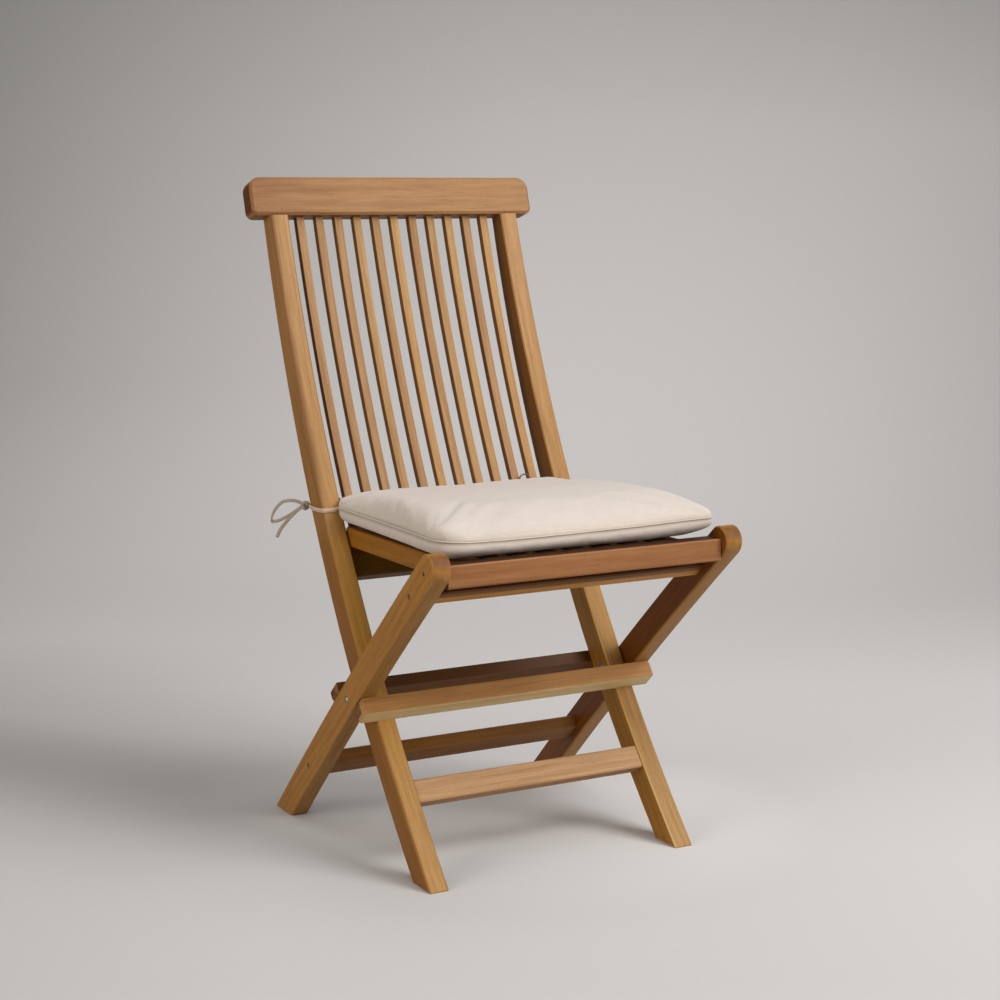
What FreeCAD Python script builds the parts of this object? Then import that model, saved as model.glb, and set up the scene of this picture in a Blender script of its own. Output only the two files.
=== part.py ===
import FreeCAD, Part
import math
import os

V = FreeCAD.Vector

# Folding wooden side chair with a tied seat cushion, standing open.
# X runs across the chair, the front faces -Y, Z is up and the floor is z = 0.
# Left means -X, the left side for someone who stands in front of the chair.
# The chair is two crossed frames: the stiles with the back, which stand inside,
# and the legs, which stand outside and carry the seat at their upper ends.

# Widths across the chair
overall_width = 460.0
leg_thickness = 26.0
stile_thickness = 28.0
washer_gap = 1.0

# Stiles: a long arc from the front feet to the top of the back
stile_foot_lean = 42.35
stile_radius = 2205.0
stile_behind_pivot = 4.2
stile_top_z = 865.4
stile_depth_foot = 39.0
stile_depth_seat = 41.5
stile_depth_top = 30.0

# Legs: a slightly bowed stick from the rear feet to the seat pivots
leg_foot_y = 195.5
seat_pivot_y = -284.2
seat_pivot_z = 430.0
leg_bow = 5.4
leg_beyond_pin = 8.0
leg_depth = 41.0

# Back
crest_height = 57.0
crest_depth = 32.0
crest_corner = 18.0
crest_lower_corner = 10.0
slat_count = 11
slat_end_gap = 17.3
slat_width = 12.4
slat_depth = 11.0
slat_setback = 3.5
back_rail_height = 46.0
back_rail_depth = 20.0
back_rail_setback = 1.0

# Stretchers and stop bars
front_stretcher_z = 98.0
front_stretcher_height = 33.0
front_stretcher_recess = 3.0
rear_stretcher_from_foot = 136.0
rear_stretcher_height = 37.0
upper_rail_from_pivot = 55.0
upper_rail_height = 24.0
upper_rail_depth = 16.0
stretcher_depth = 20.0
stop_bar_along_leg = 24.0
front_bar_along_stile = 24.0
rear_bar_along_stile = 17.0
stop_bar_ridge = 1.6
stop_bar_end_bevel = 4.0
stop_gap = 0.4

# Seat
seat_rail_thickness = 20.0
seat_rail_height = 27.0
seat_rail_above_pivot = 5.0
seat_side_gap = 2.0
seat_rest_gap = 0.6
seat_front_rail_depth = 30.0
seat_front_rail_height = 30.0
seat_front_overhang = 15.0
seat_top_above_rails = 5.0
seat_back_gap = 19.8
seat_rear_rail_depth = 26.0
seat_slat_count = 7
seat_slat_width = 28.0
seat_slat_thickness = 12.0

# Joinery and metal
tenon_length = 18.0
tenon_shoulder = 5.0
slat_tenon_length = 9.0
seat_tenon_length = 12.0
peg_radius = 4.0
peg_sides = 12
peg_length = 21.0
seat_pin_radius = 3.0
seat_pin_grip = 24.0
seat_pin_recess = 3.0
bolt_radius = 3.0
bolt_head_radius = 5.0
bolt_head_height = 4.0
bolt_head_sunk = 3.4
washer_radius = 9.0
bolt_head_bevel = 1.6
nut_radius = 6.0
nut_depth = 6.0
nut_sides = 6
turning_clearance = 0.05
sliding_gap = 0.15

# Edges
edge_bevel = 2.0
rail_bevel = 2.0
crest_bevel = 3.5
foot_chamfer = 2.0

# Cushion
cushion_front_inset = 19.2
cushion_back_gap = 3.3
cushion_side_gap = 4.0
cushion_corner = 22.0
cushion_seam_rise = 24.0
cushion_front_rise = 34.5
cushion_rear_rise = 20.0
cushion_fall_power = 4
cushion_front_round = 30.0
cushion_rear_round = 34.0
cushion_side_round = 56.0
cushion_draw_in = 4.0
# Shares along the rounded ends and the clear middle where sections lie
cushion_end_shares = (0.05, 0.4, 1.0)
cushion_middle_shares = (0.25, 0.5, 0.75)
# Shares of the side's width and of its rise or drop
cushion_shoulder = (1.0, 0.88)
cushion_swell_top = (0.3, 0.62)
cushion_swell_low = (0.26, 0.61)
cushion_base = (0.8, 1.0)

# Ties: a fabric tape round each stile, knotted behind it with a loop and a tail
tie_height = 9.0
tie_thickness = 1.4
tie_gap = 0.3
tie_rise = 19.0
knot_radius = 6.5
bow_heading = 107.0
loop_reach = 76.0
loop_rise = 7.0
loop_drop = 24.0
tail_reach = 62.0
tail_drop = 48.0
bow_tape_width = 7.2
# Shares of reach and of rise or drop at the bends
loop_top_bend = (0.62, 1.0)
loop_low_bend = (0.46, 0.66)
tail_bend = (0.66, 0.42)
knot_sides = 8
# Shares of the knot's radius along it and across it
knot_profile = ((-1.0, 0.6), (-0.4, 1.0), (0.4, 1.0), (1.0, 0.6))

leg_outer = overall_width / 2
leg_inner = leg_outer - leg_thickness
stile_outer = leg_inner - washer_gap
stile_inner = stile_outer - stile_thickness
seat_side_outer = stile_inner - seat_side_gap
seat_side_inner = seat_side_outer - seat_rail_thickness
seat_rail_top_z = seat_pivot_z + seat_rail_above_pivot
seat_bottom_z = seat_rail_top_z - seat_rail_height
seat_top_z = seat_rail_top_z + seat_top_above_rails
tie_z = seat_top_z + tie_rise
SIDES = (("left", -1), ("right", 1))
hair = 1e-6
settling_rounds = 20


def line(start, end):
    return Part.LineSegment(start, end).toShape()


def arc(start, middle, end):
    return Part.Arc(start, middle, end).toShape()


def prism(edges, width):
    """Closed outline in a plane of constant X, drawn out towards +X."""
    return Part.Face(Part.Wire(edges)).extrude(V(width, 0, 0))


def at_x(x, point):
    return V(x, point[0], point[1])


def moved(point, direction, distance):
    return (point[0] + direction[0] * distance, point[1] + direction[1] * distance)


def meeting(p, d, q, e):
    """Where the line through p along d crosses the line through q along e."""
    across = d[0] * e[1] - d[1] * e[0]
    reach = ((q[0] - p[0]) * e[1] - (q[1] - p[1]) * e[0]) / across
    return moved(p, d, reach)


def mirror_to(side, shape):
    """A shape made for the right side, or its mirror image for the left."""
    if side > 0:
        return shape
    return shape.mirror(V(0, 0, 0), V(1, 0, 0))


def rod(point, x_from, x_to, radius):
    return Part.makeCylinder(radius, x_to - x_from, at_x(x_from, point), V(1, 0, 0))


def sided_rod(point, x_from, x_to, radius, sides):
    """Straight bar along X with a regular many-sided section."""
    corners = []
    for i in range(sides + 1):
        turn = 2 * math.pi * i / sides
        corners.append(at_x(x_from, moved(point, (math.cos(turn), math.sin(turn)), radius)))
    return Part.Face(Part.makePolygon(corners)).extrude(V(x_to - x_from, 0, 0))


def peg(place, outer):
    """Wooden peg driven in from the outer face, and the hole that it fills."""
    return sided_rod(place, outer - peg_length, outer, peg_radius, peg_sides)


# Leg centre line: a chord from the foot to the seat pivot, bowed to the rear
leg_foot = (leg_foot_y, 0.0)
seat_pivot = (seat_pivot_y, seat_pivot_z)
leg_length = math.hypot(leg_foot_y - seat_pivot_y, seat_pivot_z)
leg_up = ((seat_pivot_y - leg_foot_y) / leg_length, seat_pivot_z / leg_length)
leg_back = (leg_up[1], -leg_up[0])
leg_lean = math.atan2(leg_up[0], leg_up[1])


def leg_point(along, setback=0.0):
    share = 2 * along / leg_length - 1
    bow = leg_bow * (1 - share * share)
    return moved(moved(leg_foot, leg_up, along), leg_back, bow + setback)


pivot = leg_point(leg_length / 2)


# Stile centre line, an arc that passes just behind the pivot: height gives place and lean
def stile_lean(z):
    return math.asin(math.sin(math.radians(stile_foot_lean)) - z / stile_radius)


def stile_y(z):
    turn = math.cos(stile_lean(z)) - math.cos(stile_lean(pivot[1]))
    return pivot[0] + stile_behind_pivot + stile_radius * turn


def stile_up(z):
    lean = stile_lean(z)
    return (math.sin(lean), math.cos(lean))


def stile_back(z):
    lean = stile_lean(z)
    return (math.cos(lean), -math.sin(lean))


def stile_point(z, setback=0.0):
    return moved((stile_y(z), z), stile_back(z), setback)


def slat_front_y(z):
    """Front face of the back slats at a height."""
    return stile_y(z) + (slat_setback - slat_depth / 2) / math.cos(stile_lean(z))


crest_lean = stile_lean(stile_top_z)
crest_up = stile_up(stile_top_z)


def box_bar(x_from, x_to, centre, lean, height, depth, bevel=0.0):
    """Bar along X with its height leaning back by an angle, long edges bevelled."""
    bar = Part.makeBox(x_to - x_from, depth, height, V(x_from, -depth / 2, -height / 2))
    if bevel:
        long_edges = [e for e in bar.Edges if abs(e.Length - (x_to - x_from)) < hair]
        bar = bar.makeChamfer(bevel, long_edges)
    bar.rotate(V(0, 0, 0), V(1, 0, 0), -math.degrees(lean))
    bar.translate(at_x(0, centre))
    return bar


def rail_with_tenons(half_span, centre, lean, height, depth):
    """Cross rail between two uprights, with a shouldered tenon at each end."""
    body = box_bar(-half_span, half_span, centre, lean, height, depth, rail_bevel)
    tenon = tenon_bar(half_span, centre, lean, height, depth)
    return body.fuse(tenon).removeSplitter()


def tenon_bar(half_span, centre, lean, height, depth):
    reach = half_span + tenon_length
    inner_height = height - 2 * tenon_shoulder
    inner_depth = depth - 2 * tenon_shoulder
    return box_bar(-reach, reach, centre, lean, inner_height, inner_depth)


# Places of the cross rails
front_stretcher_setback = front_stretcher_recess + (stretcher_depth - stile_depth_seat) / 2
front_stretcher_place = stile_point(front_stretcher_z, front_stretcher_setback)
front_stretcher_lean = stile_lean(front_stretcher_z)
rear_stretcher_place = leg_point(rear_stretcher_from_foot)
upper_rail_place = leg_point(leg_length - upper_rail_from_pivot)


def back_rail_height_z():
    """Height at which the rail's upper front edge sits just under the seat."""
    z = seat_bottom_z
    for _ in range(settling_rounds):
        lean = stile_lean(z)
        rise = math.cos(lean) * back_rail_height / 2
        rise += math.sin(lean) * (back_rail_depth / 2 - back_rail_setback)
        z = seat_bottom_z - seat_rest_gap - rise + rail_bevel * math.sin(lean)
    return z


back_rail_z = back_rail_height_z()
back_rail_place = stile_point(back_rail_z, back_rail_setback)
back_rail_lean = stile_lean(back_rail_z)


def crest_tenon():
    """Tenon at the top of the right stile, standing into the crest rail."""
    x_centre = (stile_inner + stile_outer) / 2
    half = stile_thickness / 2 - tenon_shoulder
    reach = crest_height - crest_corner
    centre = moved(stile_point(stile_top_z), crest_up, reach / 2)
    depth = stile_depth_top - 2 * tenon_shoulder
    return box_bar(x_centre - half, x_centre + half, centre, crest_lean, reach, depth)


def stile_outline(x):
    """Front and rear edges as arcs, level foot, square top."""
    foot_half = stile_depth_foot / 2 / math.cos(math.radians(stile_foot_lean))
    middle_z = seat_bottom_z
    half = stile_depth_seat / 2
    top_half = stile_depth_top / 2
    front = [
        (stile_y(0) - foot_half, 0.0),
        stile_point(middle_z, -half),
        stile_point(stile_top_z, -top_half),
    ]
    rear = [
        (stile_y(0) + foot_half, 0.0),
        stile_point(middle_z, half),
        stile_point(stile_top_z, top_half),
    ]
    f = [at_x(x, p) for p in front]
    r = [at_x(x, p) for p in rear]
    return [arc(*f), line(f[2], r[2]), arc(r[2], r[1], r[0]), line(r[0], f[0])]


def side_edges(shape, below):
    """Edges of the two side faces, apart from the foot's and those wholly above a height."""
    chosen = []
    for edge in shape.Edges:
        heights = [v.Z for v in edge.Vertexes]
        if edge.BoundBox.XLength < hair and max(heights) > hair and min(heights) < below:
            chosen.append(edge)
    return chosen


def level_ring(x_from, x_to, y_from, y_to, z):
    corners = [V(x_from, y_from, z), V(x_to, y_from, z), V(x_to, y_to, z), V(x_from, y_to, z)]
    return Part.makePolygon(corners + corners[:1])


def bevel_foot(shape, x_from, x_to, foot_y, depth, lean):
    """Bevel round the foot of an upright that leans back by an angle."""
    half = depth / 2 / math.cos(lean)
    c = foot_chamfer
    margin = 2 * c
    shift = margin * math.tan(lean)
    lower = level_ring(x_from + c, x_to - c, foot_y - half + c, foot_y + half - c, 0)
    upper = level_ring(x_from - c, x_to + c, foot_y + shift - half - c,
                       foot_y + shift + half + c, margin)
    kept = Part.makeLoft([lower, upper], True, True)
    slab = Part.makeBox(x_to - x_from + 2 * margin, 2 * (half + margin), c,
                        V(x_from - margin, foot_y - half - margin, 0))
    return shape.cut(slab.cut(kept))


def make_stile(side):
    stile = prism(stile_outline(stile_inner), stile_thickness)
    stile = stile.makeChamfer(edge_bevel, side_edges(stile, seat_top_z))
    stile = bevel_foot(stile, stile_inner, stile_outer, stile_y(0), stile_depth_foot,
                       math.radians(stile_foot_lean))
    stile = stile.fuse(crest_tenon()).removeSplitter()
    stile = stile.cut(tenon_bar(stile_inner, back_rail_place, back_rail_lean,
                                back_rail_height, back_rail_depth))
    stile = stile.cut(tenon_bar(stile_inner, front_stretcher_place, front_stretcher_lean,
                                front_stretcher_height, stretcher_depth))
    for place in (front_stretcher_place, back_rail_place):
        stile = stile.cut(peg(place, stile_outer))
    stile = stile.cut(rod(pivot, stile_inner, stile_outer, bolt_radius))
    stile = stile.cut(nut_block())
    return mirror_to(side, stile)


def leg_outline(x):
    """Bowed front and rear edges, level foot, half-round end a little beyond the seat pin."""
    half = leg_depth / 2
    foot_half = half / leg_up[1]
    middle = leg_length / 2
    end = leg_length + leg_beyond_pin
    front = [(leg_foot_y - foot_half, 0.0), leg_point(middle, -half), leg_point(end, -half)]
    rear = [(leg_foot_y + foot_half, 0.0), leg_point(middle, half), leg_point(end, half)]
    tip = at_x(x, moved(leg_point(end), leg_up, half))
    f = [at_x(x, p) for p in front]
    r = [at_x(x, p) for p in rear]
    return [arc(*f), arc(f[2], tip, r[2]), arc(r[2], r[1], r[0]), line(r[0], f[0])]


def make_leg(side):
    leg = prism(leg_outline(leg_inner), leg_thickness)
    leg = leg.makeChamfer(edge_bevel, side_edges(leg, seat_top_z))
    leg = bevel_foot(leg, leg_inner, leg_outer, leg_foot_y, leg_depth, leg_lean)
    leg = leg.cut(tenon_bar(leg_inner, rear_stretcher_place, leg_lean,
                            rear_stretcher_height, stretcher_depth))
    leg = leg.cut(tenon_bar(leg_inner, upper_rail_place, leg_lean,
                            upper_rail_height, upper_rail_depth))
    for place in (rear_stretcher_place, upper_rail_place):
        leg = leg.cut(peg(place, leg_outer))
    leg = leg.cut(rod(pivot, leg_inner, leg_outer, bolt_radius + turning_clearance))
    leg = leg.cut(rod(pivot, leg_outer - bolt_head_sunk - sliding_gap, leg_outer,
                      bolt_head_radius + sliding_gap))
    leg = leg.cut(rod(seat_pivot, leg_inner, leg_outer, seat_pin_radius + turning_clearance))
    return mirror_to(side, leg)


def make_crest_rail(slats):
    """Crest rail with rounded corners and softened faces, mortised for stiles and slats."""
    rail = Part.makeBox(overall_width, crest_depth, crest_height,
                        V(-overall_width / 2, -crest_depth / 2, 0))
    depth_edges = [e for e in rail.Edges if abs(e.Length - crest_depth) < hair]
    upper = [e for e in depth_edges if e.BoundBox.ZMax > crest_height / 2]
    rail = rail.makeFillet(crest_corner, upper)
    lower = [e for e in rail.Edges
             if e.BoundBox.ZMax < hair and abs(e.Length - crest_depth) < hair]
    rail = rail.makeFillet(crest_lower_corner, lower)
    outline = [e for e in rail.Edges if e.BoundBox.YLength < hair]
    rail = rail.makeChamfer(crest_bevel, outline)
    rail.rotate(V(0, 0, 0), V(1, 0, 0), -math.degrees(crest_lean))
    rail.translate(at_x(0, stile_point(stile_top_z)))
    for _, side in SIDES:
        rail = rail.cut(mirror_to(side, crest_tenon()))
    for slat in slats:
        rail = rail.cut(slat)
    return rail


def make_back_slat(index):
    """Slat on the same curve as the stiles, let into the rail below and the crest above."""
    pitch = (2 * (stile_inner - slat_end_gap) - slat_width) / (slat_count - 1)
    x = (index - (slat_count - 1) / 2) * pitch - slat_width / 2
    low = back_rail_z + math.cos(back_rail_lean) * (back_rail_height / 2 - slat_tenon_length)
    high = stile_top_z + math.cos(crest_lean) * slat_tenon_length
    heights = (low, (low + high) / 2, high)
    front = [at_x(x, stile_point(z, slat_setback - slat_depth / 2)) for z in heights]
    rear = [at_x(x, stile_point(z, slat_setback + slat_depth / 2)) for z in heights]
    outline = [arc(*front), line(front[2], rear[2]), arc(rear[2], rear[1], rear[0]),
               line(rear[0], front[0])]
    return prism(outline, slat_width)


def make_back_rail(slats):
    rail = rail_with_tenons(stile_inner, back_rail_place, back_rail_lean,
                            back_rail_height, back_rail_depth)
    for slat in slats:
        rail = rail.cut(slat)
    return drilled_ends(rail, back_rail_place, stile_outer)


def drilled_ends(rail, place, outer):
    """Peg holes through both tenons of a cross rail."""
    hole = peg(place, outer)
    return rail.cut(hole).cut(mirror_to(-1, hole))


def make_front_stretcher():
    rail = rail_with_tenons(stile_inner, front_stretcher_place, front_stretcher_lean,
                            front_stretcher_height, stretcher_depth)
    return drilled_ends(rail, front_stretcher_place, stile_outer)


def make_rear_stretcher():
    rail = rail_with_tenons(leg_inner, rear_stretcher_place, leg_lean,
                            rear_stretcher_height, stretcher_depth)
    return drilled_ends(rail, rear_stretcher_place, leg_outer)


def make_upper_rail():
    rail = rail_with_tenons(leg_inner, upper_rail_place, leg_lean,
                            upper_rail_height, upper_rail_depth)
    return drilled_ends(rail, upper_rail_place, leg_outer)


def long_prism(ring):
    """Straight bar over the whole width, its section given by corners in the YZ plane."""
    corners = [at_x(-overall_width / 2, p) for p in ring + ring[:1]]
    return Part.Face(Part.makePolygon(corners)).extrude(V(overall_width, 0, 0))


def make_stop_bar(end, rise):
    """Bar in the V where the frames cross; end is -1 for the front V and 1 for the rear V.

    One face lies on the stiles and the next one meets the legs when the chair is open.
    """
    pivot_z = pivot[1]
    along_stile = moved((0, 0), stile_up(pivot_z), end)
    along_leg = moved((0, 0), leg_up, -end)
    stile_face = stile_point(pivot_z, end * stile_depth_seat / 2)
    leg_face = moved(pivot, leg_back, end * (leg_depth / 2 + stop_gap))
    corner = meeting(stile_face, along_stile, leg_face, along_leg)
    by_leg = moved(corner, along_leg, stop_bar_along_leg)
    by_stile = moved(corner, along_stile, rise)
    outer = moved(by_leg, along_stile, rise)
    bar = long_prism([corner, by_leg, outer, by_stile])
    end_edges = [e for e in bar.Edges if e.BoundBox.XLength < hair]
    bar = bar.makeChamfer(stop_bar_end_bevel, end_edges)
    cut_leg = moved(outer, along_leg, -stop_bar_ridge)
    cut_stile = moved(outer, along_stile, -stop_bar_ridge)
    bar = bar.cut(long_prism([cut_leg, outer, cut_stile]))
    for _, side in SIDES:
        bar = bar.cut(mirror_to(side, prism(stile_outline(stile_inner), stile_thickness)))
    return bar


# Seat: a front rail that turns on two pins, side rails, a rear rail and slats
front_rail_front = seat_pivot_y - seat_front_overhang
front_rail_rear = front_rail_front + seat_front_rail_depth
seat_rear_y = slat_front_y(seat_top_z) - seat_back_gap
rear_rail_front = seat_rear_y - seat_rear_rail_depth


def seat_pin():
    return rod(seat_pivot, stile_outer - seat_pin_grip, leg_outer - seat_pin_recess,
               seat_pin_radius)


def side_rail_tenon():
    """Tenon of the right side rail in the front rail."""
    return Part.makeBox(
        seat_rail_thickness - 2 * tenon_shoulder, seat_tenon_length,
        seat_rail_height - 2 * tenon_shoulder,
        V(seat_side_inner + tenon_shoulder, front_rail_rear - seat_tenon_length,
          seat_rail_top_z - seat_rail_height + tenon_shoulder))


def rear_rail_tenon():
    """Tenon of the rear rail in the right side rail."""
    return Part.makeBox(
        seat_tenon_length, seat_rear_rail_depth - 2 * tenon_shoulder,
        seat_rail_height - 2 * tenon_shoulder,
        V(seat_side_inner, rear_rail_front + tenon_shoulder,
          seat_rail_top_z - seat_rail_height + tenon_shoulder))


def make_seat_slat(index):
    """Slat from front to back, let into both cross rails."""
    clear_width = 2 * seat_side_inner
    gap = (clear_width - seat_slat_count * seat_slat_width) / (seat_slat_count + 1)
    x = -seat_side_inner + gap + index * (gap + seat_slat_width)
    start = front_rail_rear - seat_tenon_length
    end = rear_rail_front + seat_rear_rail_depth
    slat = Part.makeBox(seat_slat_width, end - start, seat_slat_thickness,
                        V(x, start, seat_top_z - seat_slat_thickness))
    long_edges = [e for e in slat.Edges
                  if e.BoundBox.YLength > 1 and e.BoundBox.ZMax > seat_top_z - 1]
    return slat.makeChamfer(edge_bevel, long_edges)


def make_seat_front_rail(slats):
    rail = Part.makeBox(2 * stile_outer, seat_front_rail_depth, seat_front_rail_height,
                        V(-stile_outer, front_rail_front, seat_top_z - seat_front_rail_height))
    long_edges = [e for e in rail.Edges if abs(e.Length - 2 * stile_outer) < hair]
    rail = rail.makeChamfer(edge_bevel, long_edges)
    for _, side in SIDES:
        rail = rail.cut(mirror_to(side, side_rail_tenon()))
        rail = rail.cut(mirror_to(side, seat_pin()))
    for slat in slats:
        rail = rail.cut(slat)
    return rail


def make_seat_side_rail(side):
    length = seat_rear_y - front_rail_rear
    rail = Part.makeBox(seat_rail_thickness, length, seat_rail_height,
                        V(seat_side_inner, front_rail_rear, seat_bottom_z))
    long_edges = [e for e in rail.Edges if abs(e.Length - length) < hair]
    rail = rail.makeChamfer(edge_bevel, long_edges)
    rail = rail.fuse(side_rail_tenon()).cut(rear_rail_tenon()).removeSplitter()
    return mirror_to(side, rail)


def make_seat_rear_rail(slats):
    height = seat_rail_height
    rail = Part.makeBox(2 * seat_side_inner, seat_rear_rail_depth, height,
                        V(-seat_side_inner, rear_rail_front, seat_bottom_z))
    long_edges = [e for e in rail.Edges if abs(e.Length - 2 * seat_side_inner) < hair]
    rail = rail.makeChamfer(edge_bevel, long_edges)
    for _, side in SIDES:
        rail = rail.fuse(mirror_to(side, rear_rail_tenon()))
    for slat in slats:
        rail = rail.cut(slat)
    return rail.removeSplitter()


def nut_block():
    """Six-sided nut sunk in the inner face of the right stile."""
    return sided_rod(pivot, stile_inner, stile_inner + nut_depth, nut_radius, nut_sides)


# Metal: a bolt with a button head through each crossing, a washer and a sunk nut
def make_bolt(side):
    head_base = leg_outer - bolt_head_sunk
    shank = rod(pivot, stile_inner, head_base, bolt_radius)
    head = rod(pivot, head_base, head_base + bolt_head_height, bolt_head_radius)
    outer_rim = [e for e in head.Edges if e.BoundBox.XMin > head_base + bolt_head_height / 2]
    head = head.makeChamfer(bolt_head_bevel, outer_rim)
    return mirror_to(side, shank.fuse(head).removeSplitter())


def make_washer(side):
    disc = rod(pivot, stile_outer, leg_inner - sliding_gap, washer_radius)
    return mirror_to(side, disc.cut(rod(pivot, stile_outer, leg_inner, bolt_radius)))


def make_nut(side):
    nut = nut_block()
    return mirror_to(side, nut.cut(rod(pivot, stile_inner, stile_outer, bolt_radius)))


# Cushion: cross sections from front to rear, lofted
cushion_seam_z = seat_top_z + cushion_seam_rise
cushion_front_y = front_rail_front + cushion_front_inset
cushion_rear_y = slat_front_y(cushion_seam_z) - cushion_back_gap
cushion_front_half = leg_inner - cushion_side_gap
cushion_rear_half = stile_inner - cushion_side_gap


def cushion_section(y, half, seam_z, top_z, bottom_z):
    """Crown, two round sides above the seam, two below it, and a flat underside."""
    width = min(cushion_side_round, half / 2)

    def pair(shares, rise):
        x, z = half - width * shares[0], seam_z + rise * shares[1]
        return V(-x, y, z), V(x, y, z)

    rise, drop = top_z - seam_z, bottom_z - seam_z
    seam_left, seam_right = V(-half, y, seam_z), V(half, y, seam_z)
    top_left, top_right = pair(cushion_shoulder, rise)
    swell_left, swell_right = pair(cushion_swell_top, rise)
    low_left, low_right = pair(cushion_base, drop)
    under_left, under_right = pair(cushion_swell_low, drop)
    return Part.Wire([
        arc(seam_left, swell_left, top_left),
        arc(top_left, V(0, y, top_z), top_right),
        arc(top_right, swell_right, seam_right),
        arc(seam_right, under_right, low_right),
        line(low_right, low_left),
        arc(low_left, under_left, seam_left),
    ])


def cushion_stations():
    """Places along Y with the share of full thickness that each has."""
    for share in cushion_end_shares:
        yield cushion_front_y + cushion_front_round * share, share
    middle = cushion_front_y + cushion_front_round
    clear = cushion_rear_y - cushion_rear_round - middle
    for share in cushion_middle_shares:
        yield middle + clear * share, 1.0
    for share in reversed(cushion_end_shares):
        yield cushion_rear_y - cushion_rear_round * share, share


def make_cushion():
    sections = []
    length = cushion_rear_y - cushion_front_y
    for y, share in cushion_stations():
        along = (y - cushion_front_y) / length
        fullness = math.sqrt(1 - (1 - share) ** 2)
        taper = cushion_front_half + (cushion_rear_half - cushion_front_half) * along
        draw = cushion_draw_in * math.sin(math.pi * along)
        half = taper - draw - cushion_corner * (1 - fullness)
        fall = (cushion_front_rise - cushion_rear_rise) * along ** cushion_fall_power
        rise = cushion_front_rise - fall
        top_z = cushion_seam_z + rise * fullness
        bottom_z = cushion_seam_z - (cushion_seam_z - seat_top_z) * fullness
        sections.append(cushion_section(y, half, cushion_seam_z, top_z, bottom_z))
    return Part.makeLoft(sections, True, True)


# Ties
def stile_sleeve(grow, half_height):
    """Length of the right stile at the ties, grown outwards."""
    rings = []
    for z in (tie_z - half_height, tie_z + half_height):
        half = stile_depth_seat / 2 / math.cos(stile_lean(z)) + grow
        rings.append(level_ring(stile_inner - grow, stile_outer + grow,
                                stile_y(z) - half, stile_y(z) + half, z))
    return Part.makeLoft(rings, True, True)


def make_tie_strap(side):
    """Tape lying round the stile at the cushion's rear corner."""
    half = tie_height / 2
    ring = stile_sleeve(tie_gap + tie_thickness, half).cut(stile_sleeve(tie_gap, half))
    return mirror_to(side, ring)


def tape(base, points, width, thickness):
    """Tape bent along three points of an upright plane; points are (reach, rise) from base."""
    heading = math.radians(bow_heading)
    ahead = V(-math.cos(heading), math.sin(heading), 0)
    across = V(ahead.y, -ahead.x, 0)
    chord_x, chord_z = points[2][0] - points[0][0], points[2][1] - points[0][1]
    chord = math.hypot(chord_x, chord_z)
    normal = ahead * (-chord_z / chord) + V(0, 0, chord_x / chord)

    def place(point, offset):
        return base + ahead * point[0] + V(0, 0, point[1]) + normal * offset - across * width / 2

    upper = [place(p, thickness / 2) for p in points]
    lower = [place(p, -thickness / 2) for p in points]
    wire = Part.Wire([arc(*upper), line(upper[2], lower[2]), arc(lower[2], lower[1], lower[0]),
                      line(lower[0], upper[0])])
    return Part.Face(wire).extrude(across * width)


def knot(centre):
    """Many-sided barrel about the X axis."""
    rings = []
    for along, share in knot_profile:
        ring = []
        for i in range(knot_sides + 1):
            turn = 2 * math.pi * i / knot_sides
            step = V(along, share * math.cos(turn), share * math.sin(turn))
            ring.append(centre + step * knot_radius)
        rings.append(Part.makePolygon(ring))
    return Part.makeLoft(rings, True, True)


def make_tie_bow(side):
    """Knot at the stile's rear outer corner, one loop and one tail."""
    half = stile_depth_seat / 2 / math.cos(stile_lean(tie_z))
    grow = tie_gap + tie_thickness
    base = V(stile_outer + grow + knot_radius * 0.5, stile_y(tie_z) + half + grow, tie_z)
    bow = knot(base)
    start, tip, end = (0, 0), (loop_reach, -loop_drop), (tail_reach, -tail_drop)
    top_bend = (loop_reach * loop_top_bend[0], loop_rise * loop_top_bend[1])
    low_bend = (loop_reach * loop_low_bend[0], -loop_drop * loop_low_bend[1])
    drooping = (tail_reach * tail_bend[0], -tail_drop * tail_bend[1])
    for points in ((start, top_bend, tip), (tip, low_bend, start), (start, drooping, end)):
        bow = bow.fuse(tape(base, points, bow_tape_width, tie_thickness))
    bow = bow.cut(stile_sleeve(tie_gap, 2 * tie_height))
    return mirror_to(side, bow.cut(stile_sleeve(grow, tie_height / 2)).removeSplitter())


nodes = {}
back_slats = [make_back_slat(i) for i in range(slat_count)]
seat_slats = [make_seat_slat(i) for i in range(seat_slat_count)]
for name, side in SIDES:
    nodes["stile_" + name] = make_stile(side)
    nodes["leg_" + name] = make_leg(side)
    nodes["seat_side_rail_" + name] = make_seat_side_rail(side)
    nodes["seat_pin_" + name] = mirror_to(side, seat_pin())
    nodes["pivot_bolt_" + name] = make_bolt(side)
    nodes["pivot_washer_" + name] = make_washer(side)
    nodes["pivot_nut_" + name] = make_nut(side)
    nodes["tie_strap_" + name] = make_tie_strap(side)
    nodes["tie_bow_" + name] = make_tie_bow(side)
    for label, place, outer in (
            ("back_rail_peg_", back_rail_place, stile_outer),
            ("front_stretcher_peg_", front_stretcher_place, stile_outer),
            ("rear_stretcher_peg_", rear_stretcher_place, leg_outer),
            ("upper_rail_peg_", upper_rail_place, leg_outer)):
        nodes[label + name] = mirror_to(side, peg(place, outer))
for i, slat in enumerate(back_slats):
    nodes["back_slat_%02d" % (i + 1)] = slat
for i, slat in enumerate(seat_slats):
    nodes["seat_slat_%d" % (i + 1)] = slat
nodes["crest_rail"] = make_crest_rail(back_slats)
nodes["back_rail"] = make_back_rail(back_slats)
nodes["front_stretcher"] = make_front_stretcher()
nodes["rear_stretcher"] = make_rear_stretcher()
nodes["upper_leg_rail"] = make_upper_rail()
nodes["front_stop_bar"] = make_stop_bar(-1, front_bar_along_stile)
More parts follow.
